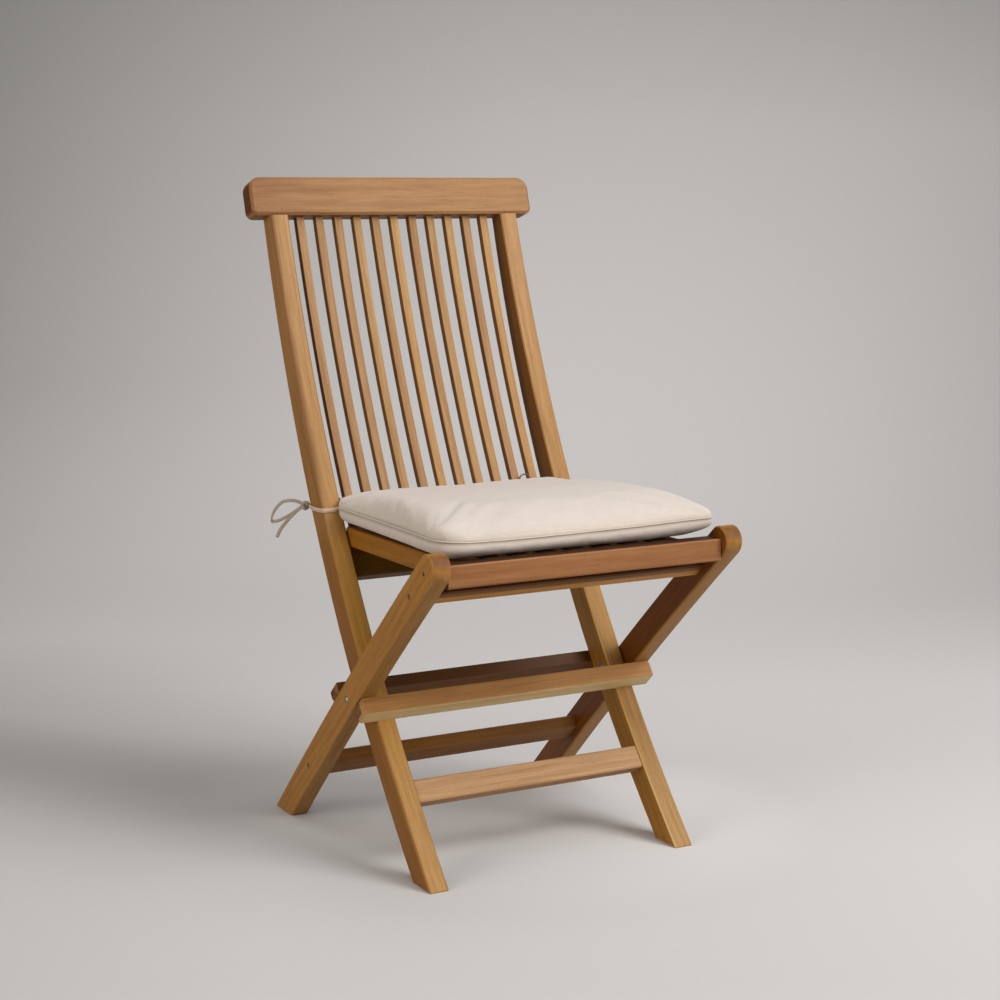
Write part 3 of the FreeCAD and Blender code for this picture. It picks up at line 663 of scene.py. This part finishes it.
def round_corner(x, y):
    """Moves a point near a corner of the outline onto a rounded corner."""
    half = half_width(y)
    side = -1 if x < 0 else 1
    for end, edge in ((-1, CUSHION_FRONT), (1, CUSHION_REAR)):
        radius = CORNER_RADII[side, end]
        a = 1 - (half - abs(x)) / radius
        b = 1 - abs(edge - y) / radius
        if a > 0 and b > 0:
            a, b = a * math.sqrt(1 - b * b / 2), b * math.sqrt(1 - a * a / 2)
            return side * (half - radius * (1 - a)), edge - end * radius * (1 - b)
    return x, y


def near_ear(x, y, reach):
    away = math.hypot(x - CUSHION_HALF_FRONT, y - CUSHION_FRONT)
    return smooth(1 - away / reach)


def pulled_ear(x, y):
    """The right front corner is drawn out into a small ear."""
    pull = near_ear(x, y, EAR_REACH)
    return x + EAR_PULL[0] * pull, y + EAR_PULL[1] * pull


def panel_point(panel, over, along):
    """A point of the top (1) or lower (-1) panel, and its share of the full thickness."""
    y = CUSHION_FRONT + along
    x = (over - 1.0) * half_width(y)
    hollow = FRONT_HOLLOW * (1 - (x / half_width(y)) ** 2)
    y += hollow * max(0.0, 1 - along / FRONT_HOLLOW_REACH)
    x, y = pulled_ear(*round_corner(x, y))
    if panel > 0:
        radius = TOP_ROUND if along < CUSHION_LENGTH / 2 else TOP_ROUND_REAR
        corner = TOP_ROUND_CORNER * smooth((TOP_CORNER_RUN - along) / TOP_CORNER_RUN)
        corner += TOP_ROUND_BACK * smooth((along - CUSHION_LENGTH + TOP_BACK_RUN) / TOP_BACK_RUN)
        side_radius = TOP_ROUND_RIGHT if over > 1.0 else TOP_ROUND_LEFT + corner
        top, bulge = crown(y), TOP_BULGE
    else:
        ear = near_ear(x, y, LOW_EAR_REACH)
        radius = side_radius = LOW_ROUND + (LOW_ROUND_EAR - LOW_ROUND) * ear
        top, bulge = SEAT_TOP, LOW_BULGE
    full_y = fullness(min(along, CUSHION_LENGTH - along), radius)
    full_x = fullness(min(over, 2.0 - over) * half_width(y), side_radius)
    full = both(full_x, full_y)
    base = seam_height(x, y)
    x += math.copysign(bulge, over - 1.0) * math.sin(math.pi * full_x) * full_y
    y += math.copysign(bulge, along - CUSHION_LENGTH / 2) * math.sin(math.pi * full_y) * full_x
    return (x, y, base + (top - base) * full), full


def cushion_mesh():
    """Two panels on one grid, sewn along the outline.

    Returns the mesh, the seam's vertices in order and, for each vertex, whether it is held.
    """
    columns = edge_stations(2.0, COLUMN_EDGE, COLUMN_EDGE, COLUMN_STEP)
    rows = edge_stations(CUSHION_LENGTH, ROW_EDGE_FRONT, ROW_EDGE_REAR, ROW_STEP)
    verts, held = [], []
    index = {}
    last_i, last_j = len(columns) - 1, len(rows) - 1
    for panel in (1, -1):
        for j, along in enumerate(rows):
            for i, over in enumerate(columns):
                on_seam = i in (0, last_i) or j in (0, last_j)
                if on_seam and panel < 0:
                    index[panel, i, j] = index[1, i, j]
                    continue
                point, full = panel_point(panel, over, along)
                index[panel, i, j] = len(verts)
                verts.append(point)
                held.append(on_seam or (panel < 0 and full > FLAT_FROM))
    faces = []
    for panel in (1, -1):
        for j in range(last_j):
            for i in range(last_i):
                ring = [index[panel, i, j], index[panel, i + 1, j],
                        index[panel, i + 1, j + 1], index[panel, i, j + 1]]
                faces.append(ring if panel > 0 else ring[::-1])
    seam = [index[1, i, 0] for i in range(last_i)]
    seam += [index[1, last_i, j] for j in range(last_j)]
    seam += [index[1, i, last_j] for i in range(last_i, 0, -1)]
    seam += [index[1, 0, j] for j in range(last_j, 0, -1)]
    mesh = bpy.data.meshes.new("seat_cushion")
    mesh.from_pydata(verts, [], faces)
    mesh.update()
    return mesh, seam, held


def add_piece(name, mesh, material, body, replaced=()):
    piece = bpy.data.objects.new(name, mesh)
    scene.collection.objects.link(piece)
    piece.data.materials.append(material)
    for polygon in piece.data.polygons:
        polygon.use_smooth = True
    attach(piece, body)
    if replaced:
        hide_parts(*replaced)
    return piece


# The cover's cloth: how long it moves, and how much of each move is kept, in metres at most
CLOTH_FRAMES = 20
CLOTH_SHARE = 0.6
CLOTH_MOST = 0.0035


def inflate(piece, held):
    """Lets the cover buckle under the filling's pressure; the seam and the underside stay."""
    pins = piece.vertex_groups.new(name="held")
    for i, is_held in enumerate(held):
        if is_held:
            pins.add([i], 1.0, "REPLACE")
    before = [v.co.copy() for v in piece.data.vertices]
    cloth = piece.modifiers.new("cloth", "CLOTH")
    settings = cloth.settings
    settings.quality = 6
    settings.mass = 0.25
    settings.tension_stiffness = 18
    settings.compression_stiffness = 18
    settings.shear_stiffness = 8
    settings.bending_stiffness = 1.5
    settings.shrink_min = -0.008
    settings.use_pressure = True
    settings.uniform_pressure_force = 3.5
    settings.vertex_group_mass = "held"
    settings.effector_weights.gravity = 0
    cloth.collision_settings.use_collision = False
    cloth.collision_settings.use_self_collision = False
    for step in range(1, CLOTH_FRAMES + 1):
        scene.frame_set(step)
    seen = piece.evaluated_get(bpy.context.evaluated_depsgraph_get())
    after = [v.co.copy() for v in seen.data.vertices]
    piece.modifiers.remove(cloth)
    scene.frame_set(1)
    for v, old, new in zip(piece.data.vertices, before, after):
        move = (new - old) * CLOTH_SHARE
        if move.length > CLOTH_MOST:
            move *= CLOTH_MOST / move.length
        v.co = old + move
        v.co.z = max(v.co.z, SEAT_TOP)


def tube(name, path, section, closed):
    """Skin round a path; section gives for each point its offsets as vectors."""
    verts, faces = [], []
    sides = len(section(0))
    for i, point in enumerate(path):
        verts += [point + offset for offset in section(i)]
    count = len(path)
    for i in range(count if closed else count - 1):
        for k in range(sides):
            a, b = i * sides, ((i + 1) % count) * sides
            faces.append((a + k, a + (k + 1) % sides, b + (k + 1) % sides, b + k))
    if not closed:
        faces.append(tuple(reversed(range(sides))))
        faces.append(tuple(range((count - 1) * sides, count * sides)))
    mesh = bpy.data.meshes.new(name)
    mesh.from_pydata(verts, [], faces)
    mesh.update()
    return mesh


cream = canvas("canvas_cream", CREAM, CREAM_SHADE, True, CREAM_SIDE_PAINTED_SHADE)
cushion_body, seam_ring, cushion_held = cushion_mesh()
cushion = add_piece("seat_cushion", cushion_body, cream, "seat", ["cushion"])
inflate(cushion, cushion_held)
for vertex in cushion.data.vertices:
    vertex.co.x = clear_of_stile(*vertex.co)
mark = cushion.data.attributes.new("seam", "FLOAT", "POINT")
for i in seam_ring:
    mark.data[i].value = 1.0


def ring_normals(points):
    """Outward level directions round a closed ring of points."""
    made = []
    count = len(points)
    for i in range(count):
        run = points[(i + 2) % count] - points[i - 2]
        made.append(Vector((run.y, -run.x, 0)).normalized())
    return made


# The lip where the panels are sewn together
LIP_OUT = 0.0003
LIP_HALF_WIDTH = 0.0011
LIP_HALF_HEIGHT = 0.0009
LIP_SIDES = 8
seam_points = [cushion.data.vertices[i].co.copy() for i in seam_ring]
outward = ring_normals(seam_points)
lip_path = [p + n * LIP_OUT + Vector((0, 0, LIP_OUT)) for p, n in zip(seam_points, outward)]


def lip_section(i):
    made = []
    for k in range(LIP_SIDES):
        turn = 2 * math.pi / LIP_SIDES * k
        made.append(outward[i] * (LIP_HALF_WIDTH * math.cos(turn))
                    + Vector(UP) * (LIP_HALF_HEIGHT * math.sin(turn)))
    return made


lip = add_piece("cushion_seam", tube("cushion_seam", lip_path, lip_section, True),
                canvas("canvas_seam", CREAM, CREAM_SHADE, False, CREAM_SIDE_PAINTED_SHADE), "seat")
fine = cushion.modifiers.new("fine", "SUBSURF")
fine.levels = 1
fine.render_levels = 1
bpy.context.view_layer.update()
smoothed = bpy.data.meshes.new_from_object(
    cushion.evaluated_get(bpy.context.evaluated_depsgraph_get()))
cushion.modifiers.clear()
cushion.data = smoothed
for piece in (cushion, lip):
    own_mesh(piece)


# Ties: each tape has a width, a thickness and a roll in degrees at its start and its end
STRAP_TAPE = (0.0064, 0.0020, (0, 4))
LOOP_TAPE = (0.0048, 0.0020, (15, -30))
TAIL_TAPE = (0.0050, 0.0020, (12, -14))
END_TAPE = (0.0062, 0.0018, (80, 60))
KNOT_TAPE = (0.0060, 0.0036, (90, 90))
TAPE_SIDES = 12
TAPE_STEPS = 8
TAPE_GAP = 0.0016
TIE_Z = 0.459
KNOT_STEPS = 12
KNOT_RADIUS = 0.0045
KNOT_SWAY = 0.0015

# Points of the tapes, as (outward x, y, z); the ends are keyed by side (-1 left)
KNOT_AT = (0.2076, 0.1400, 0.4600)
LOOP = (
    KNOT_AT, (0.2180, 0.152, 0.4660), (0.2310, 0.167, 0.4640), (0.2385, 0.181, 0.4500),
    (0.2400, 0.190, 0.4345), (0.2330, 0.181, 0.4350), (0.2215, 0.167, 0.4440),
    (0.2120, 0.150, 0.4560), KNOT_AT)
TAIL = (
    KNOT_AT, (0.2150, 0.151, 0.4530), (0.2255, 0.164, 0.4375), (0.2335, 0.172, 0.4240),
    (0.2376, 0.177, 0.4120))
TAPE_ENDS = {
    1: ((0.1235, 0.1115, 0.4740), (0.1250, 0.1120, 0.4805), (0.1300, 0.1125, 0.4842),
        (0.1370, 0.1130, 0.4840), (0.1415, 0.1130, 0.4785), (0.1540, 0.1125, 0.4680),
        (0.1705, 0.1120, 0.4610)),
    -1: ((0.1650, 0.1120, 0.4670), (0.1680, 0.1120, 0.4710), (0.1715, 0.1120, 0.4680),
         (0.1720, 0.1120, 0.4600))}


def spline(points):
    """Smooth line through the given points."""
    made = []
    ends = [points[0] * 2 - points[1]] + points + [points[-1] * 2 - points[-2]]
    for i in range(1, len(ends) - 2):
        p0, p1, p2, p3 = ends[i - 1:i + 3]
        for k in range(TAPE_STEPS):
            t = k / TAPE_STEPS
            made.append(0.5 * (2 * p1 + (p2 - p0) * t + (2 * p0 - 5 * p1 + 4 * p2 - p3) * t * t
                               + (3 * p1 - p0 - 3 * p2 + p3) * t ** 3))
    made.append(points[-1].copy())
    return made


def ribbon(name, points, width, thickness, roll):
    """Folded tape along a smooth line, turned about it by roll degrees from start to end."""
    path = spline([Vector(p) for p in points])
    count = len(path)

    def section(i):
        run = (path[min(i + 1, count - 1)] - path[max(i - 1, 0)]).normalized()
        level = run.cross(Vector(UP))
        if level.length < 1e-3:
            level = Vector(RIGHT)
        level.normalize()
        up = level.cross(run)
        turn = math.radians(roll[0] + (roll[1] - roll[0]) * (i / (count - 1)))
        flat = up * math.cos(turn) + level * math.sin(turn)
        thin = run.cross(flat)
        made = []
        for k in range(TAPE_SIDES):
            a = 2 * math.pi * k / TAPE_SIDES
            c, s = math.cos(a), math.sin(a)
            made.append(flat * (width / 2 * c) + thin * (thickness / 2 * s * (1.35 - 0.6 * abs(c))))
        return made

    return tube(name, path, section, False)


tie_cloth = canvas("canvas_tie", TIE_COLOUR, TIE_SHADE)
strap_cloth = canvas("canvas_strap", STRAP_COLOUR, STRAP_SHADE)
end_cloth = canvas("canvas_tie_end", TAPE_END_COLOUR, TAPE_END_SHADE)


def make_tie(side, name):
    """Strap once round a stile, with a knot, a loop and a tail outside and an end inside."""
    front, rear = stile_front(TIE_Z)
    middle = (front + rear) / 2
    inner, outer = STILE_INNER - TAPE_GAP, STILE_OUTER + TAPE_GAP
    strap = (
        (inner - 0.004, front - 0.001, TIE_Z + 0.003),
        (inner + 0.004, front - TAPE_GAP, TIE_Z + 0.002),
        (inner + 0.015, front - TAPE_GAP - 0.0004, TIE_Z),
        (outer - 0.004, front - TAPE_GAP, TIE_Z),
        (outer, front + 0.003, TIE_Z),
        (outer + 0.0006, middle, TIE_Z - 0.0005),
        (outer, rear - 0.004, TIE_Z),
        (outer - 0.003, rear + TAPE_GAP, TIE_Z + 0.0005),
        (inner + 0.014, rear + TAPE_GAP, TIE_Z),
        (inner + 0.003, rear + TAPE_GAP, TIE_Z),
        (inner, rear - 0.003, TIE_Z),
        (inner - 0.0006, middle, TIE_Z),
        (inner, front + 0.004, TIE_Z + 0.001),
        (inner - 0.003, front, TIE_Z + 0.002))
    knot = []
    for k in range(KNOT_STEPS + 1):
        turn = 2 * math.pi * k / KNOT_STEPS
        knot.append((KNOT_AT[0] + KNOT_RADIUS * math.cos(turn),
                     KNOT_AT[1] + KNOT_SWAY * math.sin(2 * turn),
                     KNOT_AT[2] + KNOT_RADIUS * math.sin(turn)))
    for label, points, tape, cloth, replaced in (
            ("strap_cloth", strap, STRAP_TAPE, strap_cloth, ["tie_strap_" + name]),
            ("loop", LOOP, LOOP_TAPE, tie_cloth, ()),
            ("tail", TAIL, TAIL_TAPE, tie_cloth, ()),
            ("end", TAPE_ENDS[side], END_TAPE, end_cloth, ()),
            ("knot", knot, KNOT_TAPE, tie_cloth, ["tie_bow_" + name])):
        piece_name = "tie_%s_%s" % (label, name)
        mesh = ribbon(piece_name, [(side * x, y, z) for x, y, z in points], *tape)
        piece = add_piece(piece_name, mesh, cloth, "back_frame", replaced)


make_tie(-1, "left")
make_tie(1, "right")


# Studio: a sweep of paper, which is a floor that bends up into a wall
PAPER = (0.655, 0.646, 0.648)
PAPER_DARK = (0.635, 0.626, 0.628)
SPECK_SCALE = (900.0, 900.0, 900.0)
SWEEP_NEAR = -6.0
SWEEP_FAR = 1.6
SWEEP_BEND = 2.2
SWEEP_TOP = 6.0
SWEEP_SIDE = 7.0
SWEEP_STEPS = 24

# Painted light and shade on the paper. The ranges go to Graph.spread, in metres: "deep" runs away
# from the camera along the floor, "across" to its right and "level" up.
MIDDLE = 0.25
# Painted light: a glow behind the chair and a brighter wall; painted shade at the sides
GLOW_AT = (2.7, 0.2, 0.3)
GLOW_FALL = (0.0, 6.5, 0.0, 0.42)
GLOW_DEEP = (0.8, 2.2)
SIDE_LEVEL = (0.0, 1.1, 0.10, 0.0)
SIDE_MOST = 0.40
WALL_LIFT = 0.27
WALL_DEEP = (0.3, 1.6)
LOW_LEVEL = (0.0, 0.10, 1.0, 0.0)
# Painted shade on the floor at the left
FLOOR_LEFT_SHADE_ACROSS = (0.0, -0.70, 0.0, 0.16)
FLOOR_LEFT_SHADE_DEEP = (1.25, 0.75)
# Painted soft shadow of the chair on the floor
SHADOW_DEEP = 0.105
SHADOW_SLOPE = -0.45
SHADOW_FALL = (0.0, 0.30, 0.21, 0.0, "SMOOTHSTEP")
SHADOW_ACROSS = (0.10, -0.20)
# Painted shade on the floor near the camera
FRONT_DEEP = (-0.60, -0.15, 0.93, 1.0)
# Painted pool of light on the floor under the chair
LIGHT_POOL_ACROSS = 0.10
LIGHT_POOL_FALL = (0.0, 0.165, 1.17, 1.0, "SMOOTHSTEP")
# Painted shade: the wall darker upwards, at its top and at its left
WALL_LEVEL = (0.1, 1.2, 0.965, 0.885)
TOP_LEVEL = (1.15, 1.65, 1.0, 0.89)
WALL_LEFT_ACROSS = (0.30, -1.30, 0.0, 0.145)
WALL_LEFT_LEVEL = (0.05, 0.40)
WALL_LEFT_TOP = (1.1, 1.6, 1.0, 0.4)


def paper_light_and_shade(g, place, ahead, right):
    """Painted light and shade on the paper: a glow, darker sides and top, a pool of light and soft
    floor shadows.
    """
    deep = g.vector("DOT_PRODUCT", place, tuple(ahead))
    across = g.math("ADD", g.vector("DOT_PRODUCT", place, tuple(right)), MIDDLE)
    level = g.split(place)[2]
    glow = ahead * GLOW_AT[0] + right * GLOW_AT[1] + Vector((0, 0, GLOW_AT[2]))
    offset = g.vector("SUBTRACT", place, tuple(glow))
    dim = g.product(g.spread(g.vector("DOT_PRODUCT", offset, offset), *GLOW_FALL),
                    g.spread(deep, *GLOW_DEEP))
    side = g.product(across, across, g.spread(level, *SIDE_LEVEL))
    side = g.math("MINIMUM", side, SIDE_MOST)
    lift = g.product(g.math("SUBTRACT", WALL_LIFT, side), g.spread(deep, *WALL_DEEP))
    low = g.spread(level, *LOW_LEVEL)
    # Painted shade on the floor at the left
    floor_left_shade = g.product(g.spread(across, *FLOOR_LEFT_SHADE_ACROSS), low,
                           g.spread(deep, *FLOOR_LEFT_SHADE_DEEP))
    # Painted shadow band on the floor
    line = g.math("ADD", SHADOW_DEEP, g.math("MULTIPLY", across, SHADOW_SLOPE))
    away = g.math("ABSOLUTE", g.math("SUBTRACT", deep, line))
    shadow = g.product(g.spread(away, *SHADOW_FALL), g.spread(across, *SHADOW_ACROSS), low)
    # Painted pool of light on the floor under the chair
    spot = g.vector("SUBTRACT", place, tuple(right * LIGHT_POOL_ACROSS))
    spot = g.vector("DOT_PRODUCT", spot, spot)
    # Painted shade on the wall at the left
    wall_left = g.product(g.spread(across, *WALL_LEFT_ACROSS), g.spread(level, *WALL_LEFT_LEVEL),
                          g.spread(level, *WALL_LEFT_TOP))
    return g.product(
        g.rest(dim), g.math("ADD", 1.0, lift), g.rest(floor_left_shade), g.rest(shadow),
        g.spread(deep, *FRONT_DEEP), g.spread(spot, *LIGHT_POOL_FALL), g.spread(level, *WALL_LEVEL),
        g.spread(level, *TOP_LEVEL), g.rest(wall_left))


def floor_and_wall():
    """Flat floor that curves up into a wall behind the chair, seen from the camera."""
    yaw = math.radians(CAMERA_YAW)
    ahead = Vector((-math.sin(yaw), math.cos(yaw), 0))
    right = Vector((math.cos(yaw), math.sin(yaw), 0))
    profile = [(SWEEP_NEAR, 0.0), (SWEEP_FAR, 0.0)]
    for k in range(1, SWEEP_STEPS + 1):
        turn = math.pi / 2 * k / SWEEP_STEPS
        profile.append((SWEEP_FAR + SWEEP_BEND * math.sin(turn),
                        SWEEP_BEND * (1 - math.cos(turn))))
    profile.append((SWEEP_FAR + SWEEP_BEND, SWEEP_TOP))
    verts, faces = [], []
    for d, z in profile:
        for s in (-SWEEP_SIDE, SWEEP_SIDE):
            verts.append(ahead * d + right * s + Vector((0, 0, z)))
    for k in range(len(profile) - 1):
        faces.append((2 * k, 2 * k + 1, 2 * k + 3, 2 * k + 2))
    mesh = bpy.data.meshes.new("studio_sweep")
    mesh.from_pydata(verts, [], faces)
    piece = bpy.data.objects.new("studio_sweep", mesh)
    scene.collection.objects.link(piece)
    for polygon in mesh.polygons:
        polygon.use_smooth = True
    material, g, shader = new_material("studio_paper")
    place = g.add("ShaderNodeTexCoord").outputs["Object"]
    speck = g.noise(place, SPECK_SCALE)
    paper = g.ramp(speck, ((NOISE_RANGE[0], PAPER_DARK), (NOISE_RANGE[1], PAPER)))
    tone = paper_light_and_shade(g, place, ahead, right)
    g.put(shader, "Base Color", g.vector("MULTIPLY", paper, g.join(tone, tone, tone)))
    g.put(shader, "Roughness", 0.95)
    g.put(shader, "Specular IOR Level", 0.1)
    mesh.materials.append(material)


# Lamps: (name, place, aimed at, size in metres, power in watts, colour)
LAMPS = (
    ("key", (1.85, -2.75, 2.55), (0.0, 0.0, 0.45), 2.1, 100.0, (1.0, 0.99, 0.975)),
    ("fill", (-3.0, -0.7, 1.30), (0.0, 0.0, 0.5), 1.8, 33.0, (1.0, 0.93, 0.83)),
    ("top", (0.55, -0.85, 3.4), (0.0, 0.0, 0.4), 3.4, 50.0, (1.0, 0.985, 0.96)))
AIR_COLOUR = (0.62, 0.60, 0.57, 1.0)
AIR_STRENGTH = 0.45


def lamp(name, place, target, size, power, colour):
    light = bpy.data.lights.new(name, "AREA")
    light.shape = "SQUARE"
    light.size = size
    light.energy = power
    light.color = colour
    holder = bpy.data.objects.new(name, light)
    scene.collection.objects.link(holder)
    holder.location = place
    holder.rotation_mode = "QUATERNION"
    holder.rotation_quaternion = (Vector(target) - Vector(place)).to_track_quat("-Z", "Y")


def set_camera():
    yaw, pitch, roll = (math.radians(a) for a in (CAMERA_YAW, CAMERA_PITCH, CAMERA_ROLL))
    ahead = Vector((-math.sin(yaw) * math.cos(pitch), math.cos(yaw) * math.cos(pitch),
                    math.sin(pitch)))
    right = Vector((math.cos(yaw), math.sin(yaw), 0))
    up = right.cross(ahead)
    across = right * math.cos(roll) + up * math.sin(roll)
    above = up * math.cos(roll) - right * math.sin(roll)
    data = bpy.data.cameras.new("camera")
    data.lens = CAMERA_LENS
    data.sensor_width = SENSOR_WIDTH
    holder = bpy.data.objects.new("camera", data)
    scene.collection.objects.link(holder)
    matrix = Matrix((across, above, -ahead)).transposed().to_4x4()
    matrix.translation = Vector(CAMERA_AT)
    holder.matrix_world = matrix
    scene.camera = holder


floor_and_wall()
for settings in LAMPS:
    lamp(*settings)
world = bpy.data.worlds.new("studio_air")
world.use_nodes = True
world.node_tree.nodes["Background"].inputs[0].default_value = AIR_COLOUR
world.node_tree.nodes["Background"].inputs[1].default_value = AIR_STRENGTH
scene.world = world
scene.view_settings.view_transform = "Standard"
set_camera()
